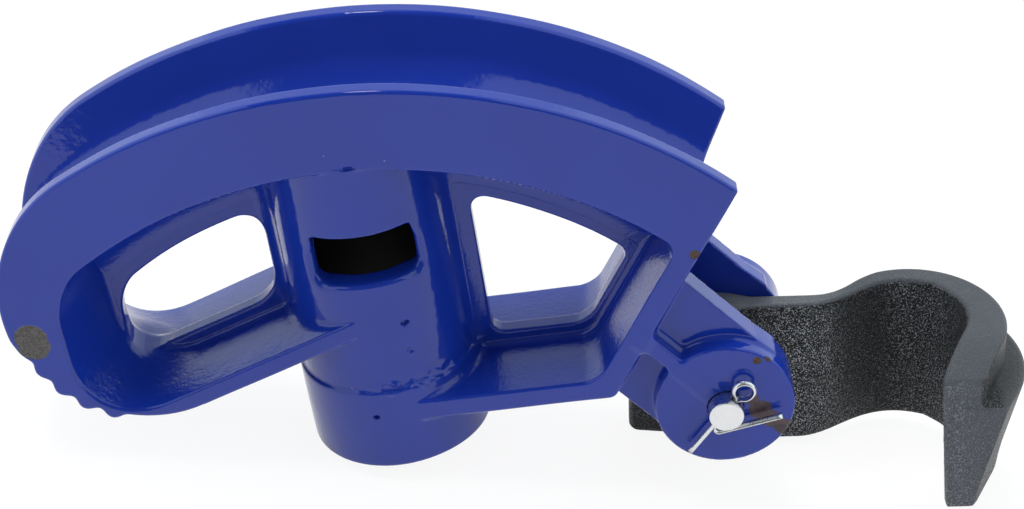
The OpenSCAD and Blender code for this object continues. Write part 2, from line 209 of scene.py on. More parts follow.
def cast_piece(name, field, low, high, pitch, triangles, place=None, marks=None):
    """A piece with the field's skin. Its normals come from the field. Each mark is a function
    of the points, and is kept as an attribute for the finish."""
    points, quads = net(field, low, high, pitch)
    points, faces = thinned(settled(field, points), quads, triangles)
    points = settled(field, points, 2, 0.3)
    normals = slope(field, points, 0.12)
    normals /= np.linalg.norm(normals, axis=1)[:, None]
    values = {mark: rule(*points.T) for mark, rule in (marks or {}).items()}
    if place is not None:
        points, normals = points @ place[:3, :3].T + place[:3, 3], normals @ place[:3, :3].T
    mesh = fill_mesh(name, points * MM, faces)
    mesh.normals_split_custom_set_from_vertices(normals.astype(np.float32))
    for mark, value in values.items():
        mesh.attributes.new(mark, "FLOAT", "POINT").data.foreach_set("value", value.astype(np.float32))
    piece = bpy.data.objects.new(name, mesh)
    bpy.context.scene.collection.objects.link(piece)
    print(name, len(points), "points", len(faces), "triangles, from", len(quads), "quads")
    return piece


# %% [markdown]
# ## The shoe
# On the real head, rims, web, ribs, end bar, socket and ears are one iron casting. Its side outline
# is worked out first, in the plane of the web: the round rim, the straight end bar, the nose and
# the heel with its grip ridges.

# %% Outline of the shoe
ARC = (-4.4, -31.0)
RIM_R, BAND_R, WINDOW_R = 150.0, 126.5, 108.0
HALF, WEB = 24.275, 3.1
BAR_SLOPE, BAR_T = 57.5, 6.5
END_ANGLE = 45.3
CORNER = at_angle(ARC, END_ANGLE, RIM_R)
TOE_SLOPE, TOE_RIB, TOE_RIB_TOP = 19.4, (0.0, 44.7), (0.0, 50.53)
HOOK_RIB, HOOK_RIB_TOP = 14.0, 20.3
NOSE_ANGLE = 116.9
NOSE = at_angle(ARC, NOSE_ANGLE, 103.5)
NOSE_R = 46.5
NOSE_LOW = 46
HEEL, HEEL_R = np.array([-61.2, 59.1]), 33.8
RIDGES, RIDGE_R, FIRST_RIDGE, RIDGE_STEP = 5, 1.9, 246, 13.3


def bar_face(x, z):
    """Distance past the outer face of the end bar."""
    return past(x, z, CORNER, BAR_SLOPE - 90)


def rib_line(x, z, through):
    """Distance below the sloping toe rib's line through a point on the socket's axis."""
    return past(x, z, through, TOE_SLOPE - 90)


def shoe_outline(x, z):
    """Side view: rim circle, end bar, lower ribs, nose circle and heel circle with ridges."""
    rim = disc(x, z, ARC, RIM_R)
    hook_side = common(common(rim, bar_face(x, z), 0.8), HOOK_RIB - z, 1.5)
    hook_side = np.maximum(hook_side, -1 - x)
    start = np.minimum(past(x, z, ARC, NOSE_ANGLE + 90), np.maximum(-50 - x, z - NOSE[1]))
    toe_side = np.maximum(common(rim, rib_line(x, z, TOE_RIB), 1.5), np.maximum(x - 1, start))
    toe = common(disc(x, z, NOSE, NOSE_R), NOSE_LOW - z, 10.0)
    toe = joined(toe, disc(x, z, HEEL, HEEL_R), 2.0)
    for i in range(RIDGES):
        tip = at_angle(HEEL, FIRST_RIDGE - RIDGE_STEP * i, HEEL_R - 0.1 * i * i)
        toe = joined(toe, disc(x, z, tip, RIDGE_R), 2.5)
    return np.minimum(np.minimum(hook_side, toe_side), toe)


print("rim corner", CORNER.round(1), "nose centre", NOSE.round(1))

# %% [markdown]
# Each side has a recess down to the web, with drafted walls so that the pattern leaves the sand, and
# the web has a window on each side of the socket.

# %% Recesses and windows
DRAFT, TOE_DRAFT = 0.07, 0.45
TOE_WALL = -82.8
WINDOW_TOE, WINDOW_NEAR, WINDOW_FAR, WINDOW_LOW = -70.7, -26.3, 29.7, 25.9


def recess_plans(x, y, z):
    """Side views of the recesses at the depth of y: toe side and hook side. The walls close in
    with depth, the one at the toe by much more than the others."""
    deep = HALF - np.abs(y)
    band = disc(x, z, ARC, BAND_R) + DRAFT * deep
    toe = common(band, TOE_WALL - x + TOE_DRAFT * deep, 9.0)
    toe = common(toe, rib_line(x, z, TOE_RIB_TOP) + DRAFT * deep, 23.5)
    hook = common(band, bar_face(x, z) + BAR_T + DRAFT * deep, 4.0)
    return toe, common(hook, HOOK_RIB_TOP - z + DRAFT * deep, 4.0)


def recess(x, y, z):
    """The two recesses, down to the web. The fillet is wide under the band and tight at the ribs
    and the bar. Both run on inside the socket."""
    toe, hook = recess_plans(x, y, z)
    floor = WEB - np.abs(y)
    wide = common(disc(x, z, ARC, BAND_R) + DRAFT * (HALF - np.abs(y)), floor, 14.0)
    toe = np.maximum(common(toe, floor, 1.5), x - 20)
    hook = np.maximum(common(hook, floor, 2.0), -4 - x)
    return np.maximum(np.minimum(toe, hook), wide)


def frame_line(x, y, z):
    """Distance outside the flat frames that stand a hair proud round the windows."""
    toe, hook = recess_plans(x, y, z)
    flat = np.minimum(np.maximum(toe + 1.2, x + 22.5), np.maximum(hook + 1.6, 25.2 - x))
    return np.maximum(flat, disc(x, z, ARC, BAND_R - 15.0))


def window_plan(x, z):
    """Side view of the two windows: parallel to the band, the ribs, the bar and the socket."""
    top = disc(x, z, ARC, WINDOW_R)
    toe = common(top, WINDOW_TOE - x, 6.0)
    toe = common(common(toe, rib_line(x, z, TOE_RIB_TOP) + 5.6, 9.2), x - WINDOW_NEAR, 8.0)
    hook = common(common(top, bar_face(x, z) + BAR_T + 4.6, 3.0), WINDOW_FAR - x, 5.0)
    return np.minimum(toe, common(hook, WINDOW_LOW - z, 4.0))


def body(x, y, z):
    """The slab of the outline, less the recesses on both sides, less the windows, whose
    rear edges are rounder."""
    slab = common(shoe_outline(x, z), np.abs(y) - HALF, 1.1)
    walls = cut(slab, recess(x, y, z), 0.9)
    return cut(walls, window_plan(x, z), 0.9 + 1.6 * np.clip(y / 2, 0, 1))


print("draft of the recess walls", DRAFT)

# %% [markdown]
# The socket is a tapering tube with a thicker collar at its mouth. The ears are a pair of plates with
# round bosses for the pin, each stiffened by a spine that runs back to the end bar.

# %% Socket and ears
PIN = np.array([91.3, 7.5])
BOSS_R, EAR_IN, EAR_OUT, EAR_SLOPE = 19.2, 13.5, 19.2, 51.0
FRONT_EAR_IN = 11.3
SOCKET_R, SOCKET_TOP, SOCKET_TAPER = 24.6, 96.5, 0.0141
COLLAR, COLLAR_STEP = 25.5, 0.9
WAVES = [(1.0, 0.31, -0.42, 0.3), (-0.36, 1.0, 0.53, 1.9),
         (0.48, -0.57, 1.0, 4.1), (0.83, 0.71, 0.64, 2.6)]


def ripple(x, y, z, size):
    """A gentle unevenness between -1 and 1: four waves in different directions, averaged."""
    return sum(np.sin((a * x + b * y + c * z) / size + phase) for a, b, c, phase in WAVES) / 4


def socket(x, y, z):
    """A tube round Z: radius 25.5 in the collar, then a slight cone from 24.6 up, which swells
    at the top to run into the rim. The collar's step is a steep smooth curve, with a rough
    bead of iron on it in front."""
    step = COLLAR_STEP / (1 + np.exp(np.clip((z - COLLAR) / 0.22, -40, 40)))
    front = np.exp(-((z - 26.8) / 1.8) ** 2 - ((x - 5.5) / 13) ** 4) * (y < 0)
    step = step + 1.2 * front * np.maximum(ripple(x, y, 1.6 * z, 0.75) + 0.15, 0)
    swell = 0.7 * np.clip((z - 82) / 13, 0, 1) ** 2
    wall = np.hypot(x, y) - (SOCKET_R - SOCKET_TAPER * np.maximum(z - COLLAR, 0)) - step - swell
    return common(np.maximum(wall, z - SOCKET_TOP), -z, 1.0)


def ears(x, y, z):
    """On each side a plate from the end bar, a spine along its middle, and a boss. The front
    ear reaches further in than the rear one."""
    ay = np.abs(y)
    across = np.abs(past(x, z, PIN, 90 - EAR_SLOPE))
    along = np.maximum(past(x, z, PIN, -EAR_SLOPE), -BAR_T / 2 - bar_face(x, z))
    boss = disc(x, z, PIN, BOSS_R)
    plate = np.minimum(np.maximum(across - BOSS_R, along), boss + 2.5)
    plate = common(plate, ay - EAR_OUT, 0.5)
    spine = common(np.maximum(across - 2.4, along), ay - HALF, 0.8)
    boss = common(boss, ay - HALF, 0.7)
    metal = joined(joined(plate, spine, 2.5), boss, 1.6)
    return common(metal, np.where(y < 0, FRONT_EAR_IN, EAR_IN) - ay, 0.5)


print("socket radius", SOCKET_R, "boss radius", BOSS_R, "pin at", PIN)

# %% [markdown]
# The groove for the tube runs round the arc. Groove, bore, sight slot, gas holes and pin holes are
# cut last, so that their edges stay round. Two marks go with the skin: where the recess walls
# show the grain of the moulding sand, and where the flat frames lie round the windows.

# %% Groove, holes and the whole casting
GROOVE_R, GROOVE_CENTRE = 16.175, (147.175, 0)
GROOVE_MOUTH, GROOVE_FLARE, GROOVE_LEAVES = (RIM_R, 18.875), 113.53, 140.71
BORE_R, BORE_TOP, PIN_HOLE_R = 16.9, 75.0, 4.81
SLOT_X, SLOT_HALF, SLOT_LOW = 1.3, 13.3, 60.0
RIB_RISE = 0.352


def groove(x, y, z):
    """Round the arc's centre: a circle of radius 16.2, and the two lines that leave it
    tangentially and open out to 18.9 at the rim."""
    out, ay = np.hypot(x - ARC[0], z - ARC[1]), np.abs(y)
    flare = np.maximum(past(out, ay, GROOVE_MOUTH, GROOVE_FLARE), GROOVE_LEAVES - out)
    return np.minimum(disc(out, ay, GROOVE_CENTRE, GROOVE_R), flare)


BLOW_HOLES = [((8.8, -22.9, 45.8), (1.2, 1.6, 0.8)), ((9.3, -23.1, 36.9), (1.3, 1.0, 1.2)),
              ((-3.6, -25.2, 17.5), (0.9, 1.6, 0.7)), ((2.3, -24.2, 96.3), (1.9, 0.9, 0.33))]


def holes(x, y, z):
    """Small egg-shaped gas holes in the front of the socket."""
    eggs = [(np.sqrt(sum(((p - c) / r) ** 2 for p, c, r in zip((x, y, z), at, size))) - 1) * min(size)
            for at, size in BLOW_HOLES]
    return np.minimum.reduce(eggs)


def shoe(x, y, z):
    """The whole casting: body, socket and ears, less groove, bore, sight slot and pin holes.
    The fillet of the socket fades out in front, where the socket runs on into the rim."""
    above = z - np.where(x < 0, TOE_RIB_TOP[1] + RIB_RISE * x, HOOK_RIB_TOP)
    fillet = (2.0 + 3.2 * np.clip((above - 2) / 9, 0, 1)) * np.clip((np.abs(x) - 6) / 9, 0, 1)
    fillet = 0.3 + fillet * np.clip((93 - z) / 8, 0.06, 1)
    metal = joined(joined(body(x, y, z), socket(x, y, z), fillet), ears(x, y, z), 2.5)
    metal = cut(metal, groove(x, y, z), 1.0) + 0.1 * (1 + ripple(x, y, z, 5.0))
    metal = cut(metal, common(np.hypot(x, y) - BORE_R, z - BORE_TOP, 3.0), 1.5)
    aside = np.abs(x - SLOT_X)
    slot = common(common(aside - SLOT_HALF, SLOT_LOW - z, 3.0), z - BORE_TOP, 1.2)
    edge = np.minimum(1.4 + 0.4 * np.clip(aside - 9, 0, 4), np.maximum((BORE_TOP - z) / 2, 0.6))
    metal = cut(metal, np.maximum(slot, y + 4), edge)
    metal = cut(metal, holes(x, y, z), 0.15)
    return cut(metal, disc(x, z, PIN, PIN_HOLE_R), 0.4)


def sand_mark(x, y, z):
    """1 on the walls and floors of the recesses, 0 on the socket and elsewhere."""
    return np.clip(1 - recess(x, y, z) / 0.8, 0, 1) * np.clip((np.hypot(x, y) - 24.7) / 1.2, 0, 1)


def frame_mark(x, y, z):
    """Distance outside the window frames, for points near the web."""
    return np.where(np.abs(y) < WEB + 2.5, frame_line(x, y, z), 9.0)


shoe_piece = cast_piece("shoe_casting", shoe, (-101, -27.5, -14), (113, 27.5, 121), 0.65, 190000,
                        marks={"sand": sand_mark, "frame": frame_mark})
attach(shoe_piece, "shoe")
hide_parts("bending_shoe")

# %% [markdown]
# ## The hook
# The hook is a black sand casting: a flat arm with a tail that stops on the end bar, an eye for
# the pin, a saddle that holds the tube and a leg in front of it. A rib stiffens the outside. It is
# worked out with the pin at the origin, and then turned down by 6 degrees, to where its tail meets
# the bar.

# %% Field of the hook
SADDLE_R, SHELL_R = 16.575, 25.175
lie = np.radians(END_ANGLE)
SADDLE = (146.875 - (PIN - ARC) @ [np.cos(lie), np.sin(lie)], 0.0)
SHELL = (SADDLE[0] + 2.0, -2.0)
ARM_FRONT, ARM_BACK, ARM_MID, ARM_HALF = 5.5, 13.2, 9.35, 3.85
TOP, LOW, REACH, DROOP = 12.1, -35.1, 27.3, 6.0
EYE_R, FIN = 12, 6.0
OUTER_WAY, INNER_WAY = -27, -17
meet = np.radians(90 + BAR_SLOPE + DROOP)
TAIL = (bar_face(*PIN) - 0.3 - TOP * np.sin(meet)) / np.cos(meet)
BACK_R = 20.0
aside = np.sqrt((SHELL_R + BACK_R) ** 2 - (ARM_BACK + BACK_R - SHELL[1]) ** 2)
BACK = (SHELL[0] - aside, ARM_BACK + BACK_R)
BACK_WAY = np.degrees(np.arctan2(SHELL[1] - BACK[1], SHELL[0] - BACK[0]))


def top_of(x, y):
    """Height of the top: level, but falling by 4 towards the end of the leg, and towards the
    back of the arm by a fifth of the way."""
    arm = np.clip((SADDLE[0] - 6 - x) / 16, 0, 1) * np.clip(y - 6, 0, 8)
    return TOP - 4 * np.clip((-8 - y) / 19, 0, 1) ** 2 - 0.2 * arm


def hook_plan(x, y, z):
    """View along the tube: arm, round shell and leg, less the saddle and the open front. A hollow
    round joins the arm's back to the shell, and the leg is thicker at the top of its end."""
    arm = np.maximum(common(np.abs(y - ARM_MID) - ARM_HALF, TAIL - x, 3.0), x - SADDLE[0])
    shell = disc(x, y, SHELL, SHELL_R)
    hollow = np.maximum(-disc(x, y, BACK, BACK_R), past(x, y, BACK, BACK_WAY + 90))
    hollow = np.maximum(hollow, np.maximum(BACK[0] - x, ARM_FRONT - y))
    outer = past(x, y, at_angle(SHELL, OUTER_WAY, SHELL_R), OUTER_WAY)
    flare = 3.6 * np.clip((-6 - y) / 21, 0, 1) * np.clip((z - LOW) / (TOP - LOW), 0, 1)
    inner = past(x, y, at_angle(SADDLE, INNER_WAY, SADDLE_R), INNER_WAY) + flare
    ahead = past(x, y, SHELL, OUTER_WAY + 90)
    leg = np.maximum(np.maximum(outer, -inner), np.maximum(ahead, -REACH - 4 - y))
    wall = np.minimum(np.minimum(arm, hollow), np.minimum(shell, leg))
    lip = joined(np.maximum(y - ARM_FRONT, x - SADDLE[0]), disc(x, y, SADDLE, SADDLE_R), 13.0)
    mouth = np.maximum(np.maximum(y - ARM_FRONT, inner), past(x, y, (SADDLE[0], ARM_FRONT), 56.7))
    wall = cut(wall, np.minimum(lip, mouth), 0.8)
    return common(wall, -REACH - y, 1.8), np.where(ahead > 0, shell, outer)


def hook(x, y, z):
    """The plan between top and underside, the eye, and the rib that thins towards its foot."""
    plan, outside = hook_plan(x, y, z)
    under = np.maximum(past(x, z, (12.0, LOW), -90 - 6.45), LOW - z)
    high = np.maximum(z - top_of(x, y), under)
    wall = common(plan, high, 1.4)
    fin = common(outside - FIN * np.minimum((z + 33.1) / 29.1, 1), z + 1.5, 2.0)
    fin = np.maximum(common(fin, past(x, y, SHELL, 138), 3.0), np.maximum(-REACH - y, LOW - z))
    eye = common(np.hypot(x, z) - EYE_R, np.maximum(y - ARM_BACK, 0.3 - FRONT_EAR_IN - y), 1.0)
    metal = joined(np.maximum(joined(wall, np.maximum(fin, -outside - 6), 2.0), high), eye, 3.0)
    return cut(metal, np.hypot(x, z) - PIN_HOLE_R, 0.5)


droop = np.radians(DROOP)
AT_PIN = np.array([[np.cos(droop), 0, np.sin(droop), PIN[0]], [0, 1, 0, 0],
                   [-np.sin(droop), 0, np.cos(droop), PIN[1]]])
hook_piece = cast_piece("hook_casting", hook, (-29, -29, -38), (90, 26, 15), 0.65, 110000, AT_PIN,
                        {"top": lambda x, y, z: z - top_of(x, y), "front": lambda x, y, z: -REACH - y})
print("saddle at", SADDLE, "tail at", round(TAIL, 2))
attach(hook_piece, "hook")
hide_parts("hook")

# %% [markdown]
# ## Clevis pin
# A turned and plated pin: a flat head at the rear, a chamfered end in front, and a cross hole
# for the split pin. It is a field too, because the cross hole meets the round shank.

# %% Field of the clevis pin
PIN_R, PIN_MID, PIN_HALF = 4.75, -1.5, 27.875
HEAD_R, HEAD_MID, HEAD_HALF = 7.5, 25.775, 1.5
SPLIT_Y, SPLIT_ANGLE, CROSS_R = -26.825, 49.0, 1.5


def clevis(x, y, z):
    """Shank and head round Y, less a hole across it."""
    out = np.hypot(x - PIN[0], z - PIN[1])
    shank = common(out - PIN_R, np.abs(y - PIN_MID) - PIN_HALF, 0.3)
    head = common(out - HEAD_R, np.abs(y - HEAD_MID) - HEAD_HALF, 0.8)
    hole = np.hypot(past(x, z, PIN, SPLIT_ANGLE + 90), y - SPLIT_Y)
    return cut(joined(shank, head, 0.4), hole - CROSS_R, 0.25)


pin_piece = cast_piece("clevis_pin_turned", clevis, (83, -30, -1), (100, 28, 16), 0.4, 24000)
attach(pin_piece, "pin")
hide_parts("clevis_pin")

# %% [markdown]
# ## Split pin
# A split pin is one half-round wire, folded so that its flat sides meet. A straight wire profile
# is carried along a flat path: up one leg, round the eye, down the other leg and round its bend.
# The path is the line of the flat side, and the round side points to the left of the way.

# %% Wire of the split pin
def line_to(path, length):
    """Goes straight on from the path's end."""
    x, y, a = path[-1]
    path += [(x + t * np.cos(a), y + t * np.sin(a), a) for t in np.linspace(0, length, 12)[1:]]


def turn_by(path, r, degrees):
    """Goes on along an arc of radius r, to the left where degrees is above zero."""
    x, y, a = path[-1]
    side = np.sign(degrees)
    steps = np.linspace(0, np.radians(degrees), 6 + int(abs(degrees) / 5))[1:]
    cx, cy = x - side * r * np.sin(a), y + side * r * np.cos(a)
    path += [(cx + side * r * np.sin(a + t), cy - side * r * np.cos(a + t), a + t) for t in steps]


WIRE_R, SEAM = 1.15, 0.02
EYE_IN, EYE_AT, NECK_R = 2.5, 8.35, 1.6
LEG, BEND_AT, BEND_R, BEND, BENT_LEG = 16.5, 5.5, 1.5, 140.8, 17.6
swing = np.degrees(np.arccos((NECK_R + SEAM) / (NECK_R + EYE_IN)))
wire = [(-LEG, SEAM, 0.0)]
line_to(wire, LEG + EYE_AT - (EYE_IN + NECK_R) * np.sin(np.radians(swing)))
turn_by(wire, NECK_R, swing)
turn_by(wire, EYE_IN, -(180 + 2 * swing))
turn_by(wire, NECK_R, swing)
line_to(wire, wire[-1][0] + BEND_AT)
turn_by(wire, BEND_R, BEND)
line_to(wire, BENT_LEG)
wire = np.array(wire)


def half_round(path, r, n=14):
    """Carries a half disc along the path: its flat on the path, its bow to the left, and the
    wire's width across the plane. The ends are closed with their own outline."""
    bow = np.linspace(-np.pi / 2, np.pi / 2, n)
    height = np.r_[0.05 * r, np.cos(bow) * 0.82 * r, 0.05 * r]
    width = np.r_[-0.93 * r, np.sin(bow) * r, 0.93 * r]
    profile = np.stack([height, width], 1)
    left = np.stack([-np.sin(path[:, 2]), np.cos(path[:, 2])], 1)
    flat = path[:, None, :2] + profile[None, :, :1] * left[:, None]
    depth = np.broadcast_to(profile[None, :, 1:], flat.shape[:2] + (1,))
    return np.concatenate([flat, depth], 2)


section = half_round(wire, WIRE_R)
m, k = section.shape[:2]
c, s = np.cos(np.radians(SPLIT_ANGLE)), np.sin(np.radians(SPLIT_ANGLE))
u, v, w = section.reshape(-1, 3).T
wire_points = np.stack([PIN[0] + u * c - v * s, SPLIT_Y + w, PIN[1] + u * s + v * c], 1)
i, j = np.meshgrid(np.arange(m - 1), np.arange(k), indexing="ij")
here, after = i * k + j, i * k + (j + 1) % k
sides = np.stack([here, after, after + k, here + k], -1).reshape(-1, 4)
fan = np.arange(1, k - 1)
start = np.stack([0 * fan, fan + 1, fan], 1)
end = (m - 1) * k + np.stack([0 * fan, fan, fan + 1], 1)
caps = np.concatenate([start, end])
wire_mesh = bpy.data.meshes.new("split_pin_wire")
wire_mesh.from_pydata((wire_points * MM).tolist(), [], sides.tolist() + caps.tolist())
wire_mesh.validate()
wire_mesh.shade_smooth()
split_piece = bpy.data.objects.new("split_pin_wire", wire_mesh)
bpy.context.scene.collection.objects.link(split_piece)
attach(split_piece, "pin")
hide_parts("split_pin")
print("split pin wire:", m, "sections of", k)

# %% [markdown]
# ## Finishes
# The nodes below are made with small helpers: one adds a node and joins its inputs, another starts
# a node group with named sockets, and short ones stand for the kinds of node that are used most.
# Positions are read in Object coordinates, in metres, so a noise's scale counts waves per metre.

# %% Node helpers
def node(tree, kind, inputs=None, **settings):
    """Adds a node; each input is a socket to join, or a plain value."""
    made = tree.nodes.new(kind)
    for key, value in settings.items():
        setattr(made, key, value)
    for key, value in (inputs or {}).items():
        if isinstance(value, bpy.types.NodeSocket):
            tree.links.new(value, made.inputs[key])
        else:
            made.inputs[key].default_value = value
    return made


def math(tree, operation, *values):
    """A Math node's result."""
    return node(tree, "ShaderNodeMath", dict(enumerate(values)), operation=operation).outputs[0]


def remap(tree, value, low, high, to_low=0.0, to_high=1.0):
    """Carries low..high to to_low..to_high, smoothly and held at the ends."""
    return node(tree, "ShaderNodeMapRange", {0: value, 1: low, 2: high, 3: to_low, 4: to_high},
                interpolation_type="SMOOTHSTEP").outputs[0]


def noise(tree, vector, scale, detail=2.0, roughness=0.5):
    """A Noise texture's value."""
    return node(tree, "ShaderNodeTexNoise", {"Vector": vector, "Scale": scale, "Detail": detail,
                                             "Roughness": roughness}).outputs[0]


def blend(tree, factor, a, b):
    """A colour between a and b."""
    return node(tree, "ShaderNodeMix", {0: factor, 6: a, 7: b}, data_type="RGBA").outputs[2]


def group(name, inputs, outputs):
    """A node group with its input and output sockets, given as (name, kind) pairs."""
    tree = bpy.data.node_groups.new(name, "ShaderNodeTree")
    for label, kind in inputs:
        tree.interface.new_socket(label, in_out="INPUT", socket_type="NodeSocket" + kind)
    for label, kind in outputs:
        tree.interface.new_socket(label, in_out="OUTPUT", socket_type="NodeSocket" + kind)
    return tree, tree.nodes.new("NodeGroupInput").outputs, tree.nodes.new("NodeGroupOutput").inputs


def use(tree, made, **inputs):
    """Places a group in a material with its own values."""
    return node(tree, "ShaderNodeGroup", inputs, node_tree=made).outputs


def mark(tree, name):
    """The value of one of the piece's marks."""
    return node(tree, "ShaderNodeAttribute", attribute_name=name).outputs["Fac"]


def bumped(tree, shader, height, strength, distance):
    """Bends the shader's normal by a height."""
    bump = node(tree, "ShaderNodeBump", {"Strength": strength, "Distance": distance, "Height": height})
    tree.links.new(bump.outputs[0], shader.inputs["Normal"])


def material(piece, name):
    """A material with a Principled shader, set on a piece."""
    made = bpy.data.materials.new(name)
    made.use_nodes = True
    piece.data.materials.append(made)
    tree = made.node_tree
    return tree, tree.nodes["Principled BSDF"], node(tree, "ShaderNodeTexCoord").outputs["Object"]


print("node helpers ready")

# %% [markdown]
# Three effects are groups. Sand grain is the pebbly skin that moulding sand leaves on iron, and all
# finishes use it; its tops serve the hook as a mask for painted glints. A worn spot is a ragged patch
# round a point, for the bare patch, the rust chips and the smear of rust. The third group sprinkles
# tiny pale specks: dust, and painted glints where the grain catches the light.

# %% Shared effects
grain, g_in, g_out = group("sand grain", [("Vector", "Vector"), ("Size", "Float")],
                           [("Height", "Float"), ("Glints", "Float")])
fine = noise(grain, g_in["Vector"], g_in["Size"], 3.0, 0.6)
coarse = noise(grain, g_in["Vector"], math(grain, "MULTIPLY", g_in["Size"], 0.37), 2.0)
grain.links.new(math(grain, "ADD", fine, math(grain, "MULTIPLY", coarse, 0.6)), g_out["Height"])
# The tops of the grains as a mask; the hook paints glints there.
grain.links.new(remap(grain, fine, 0.53, 0.61), g_out["Glints"])

spot, s_in, s_out = group("worn spot", [("Vector", "Vector"), ("Centre", "Vector"), ("Radius", "Float"),
                                        ("Ragged", "Float")], [("Mask", "Float")])
gap = node(spot, "ShaderNodeVectorMath", {0: s_in["Vector"], 1: s_in["Centre"]}, operation="DISTANCE")
uneven = math(spot, "SUBTRACT", noise(spot, s_in["Vector"], 420.0, 3.0, 0.65), 0.5)
ragged = math(spot, "MULTIPLY", uneven, s_in["Ragged"])
share = math(spot, "ADD", math(spot, "DIVIDE", gap.outputs["Value"], s_in["Radius"]), ragged)
spot.links.new(remap(spot, share, 1.05, 0.9), s_out["Mask"])

# Tiny pale dots: dust, and painted glints of the grain.
dust_and_glints, d_in, d_out = group("dust_and_glints", [("Vector", "Vector"), ("Size", "Float"), ("Amount", "Float")],
                          [("Mask", "Float")])
cells = node(dust_and_glints, "ShaderNodeTexVoronoi", {"Vector": d_in["Vector"], "Scale": d_in["Size"]}).outputs
chance = node(dust_and_glints, "ShaderNodeSeparateColor", {0: cells["Color"]}).outputs[0]
picked = math(dust_and_glints, "LESS_THAN", chance, d_in["Amount"])
speck = remap(dust_and_glints, cells["Distance"], 0.12, 0.05)
dust_and_glints.links.new(math(dust_and_glints, "MULTIPLY", picked, speck), d_out["Mask"])
print("groups:", [tree.name for tree in (grain, spot, dust_and_glints)])

# %% [markdown]
# ### Blue enamel
# The shoe is dipped or sprayed in a thick glossy blue. Sand grain shows softly through it, it is
# wavy like orange peel, and it has run a little. One patch on the heel is rubbed down to grey iron,
# a few chips have rusted, and rust is smeared beside the pin. Tiny pale specks are dust and painted
# glints. The socket's bore is bare iron, coloured near black as painted shade of its depth.
# Each finish has a dark and a pale colour, and noise picks between them.

# %% Waves and grain of the enamel
tree, shader, place = material(shoe_piece, "blue enamel")
axes = node(tree, "ShaderNodeSeparateXYZ", {0: place}).outputs
inside = remap(tree, math(tree, "ABSOLUTE", axes["Y"]), 0.0240, 0.0232)
skin_grain = use(tree, grain, Vector=place, Size=1000.0)
gritty = math(tree, "MULTIPLY", math(tree, "MULTIPLY", mark(tree, "sand"), inside), 0.55)
grainy = math(tree, "MULTIPLY", skin_grain["Height"], math(tree, "ADD", gritty, 0.05))
peel = noise(tree, place, 170.0, 1.5)
sags = noise(tree, place, 520.0, 2.0)
waves = noise(tree, place, 45.0, 1.0)
wavy = math(tree, "MULTIPLY_ADD", sags, 0.22, math(tree, "MULTIPLY", peel, 0.4))
wavy = math(tree, "ADD", wavy, math(tree, "MULTIPLY", waves, 1.2))
framed = remap(tree, mark(tree, "frame"), 0.2, -0.2)
height = math(tree, "MULTIPLY_ADD", framed, 0.5, math(tree, "ADD", grainy, wavy))
print("enamel height from", len(tree.nodes), "nodes")

# %% Colours and wear of the enamel
BLUE, PALE_BLUE = (0.007, 0.028, 0.282, 1), (0.0085, 0.032, 0.312, 1)
IRON, PALE_IRON = (0.055, 0.046, 0.043, 1), (0.125, 0.112, 0.108, 1)
RUST, PALE_RUST = (0.03, 0.016, 0.013, 1), (0.085, 0.042, 0.028, 1)
# The bore's near black is bare iron with painted shade of the deep hole.
DUST_GLINT, BORE_SHADE_AND_IRON = (0.35, 0.38, 0.5, 1), (0.004, 0.004, 0.005, 1)
GLOSS, DULL = 0.08, 0.65
BARE = [(-91.2, 55.8, 4.6), (-91.0, 53.4, 4.6)]
CHIPS = [(87.9, 57.9, 1.5), (58.6, 14.0, 0.9), (101.1, 21.5, 1.3), (104.3, 21.7, 1.2)]
SMEAR = [(98.9, 8.6, 1.9), (100.6, 5.0, 3.2), (103.4, 1.5, 3.0), (106.6, -1.7, 2.8)]


def spots(tree, place, ragged, wanted):
    """The largest of several worn-spot masks on the front: (x, z, radius) in millimetres."""
    mask = 0.0
    for x, z, r in wanted:
        centre = (x * MM, -HALF * MM, z * MM)
        one = use(tree, spot, Vector=place, Centre=centre, Radius=r * MM, Ragged=ragged)
        mask = math(tree, "MAXIMUM", mask, one["Mask"])
    return mask


def mottled(tree, place, scale, detail, dark, pale):
    """Two colours in fine spots."""
    return blend(tree, remap(tree, noise(tree, place, scale, detail, 0.7), 0.35, 0.65), dark, pale)


tone = remap(tree, noise(tree, place, 26.0, 2.0), 0.3, 0.7)
blue = blend(tree, tone, BLUE, PALE_BLUE)
# Pale specks on the enamel: dust, and painted glints.
dust_and_glint_specks = use(tree, dust_and_glints, Vector=place, Size=330.0, Amount=0.03)["Mask"]
blue = blend(tree, math(tree, "MULTIPLY", dust_and_glint_specks, 0.4), blue, DUST_GLINT)
bare = spots(tree, place, 0.25, BARE)
chips = spots(tree, place, 0.8, CHIPS)
smear = spots(tree, place, 0.6, SMEAR)
flat = node(tree, "ShaderNodeVectorMath", {0: place, 1: (1, 1, 0)}, operation="MULTIPLY").outputs[0]
out = node(tree, "ShaderNodeVectorMath", {0: flat}, operation="LENGTH").outputs["Value"]
bore = math(tree, "MULTIPLY", remap(tree, out, 0.0178, 0.0173), remap(tree, axes["Z"], 0.0755, 0.0750))
colour = blend(tree, bare, blue, mottled(tree, place, 1500.0, 4.0, IRON, PALE_IRON))
rusted = math(tree, "MAXIMUM", chips, math(tree, "MULTIPLY", smear, 0.95))
colour = blend(tree, rusted, colour, mottled(tree, place, 600.0, 3.0, RUST, PALE_RUST))
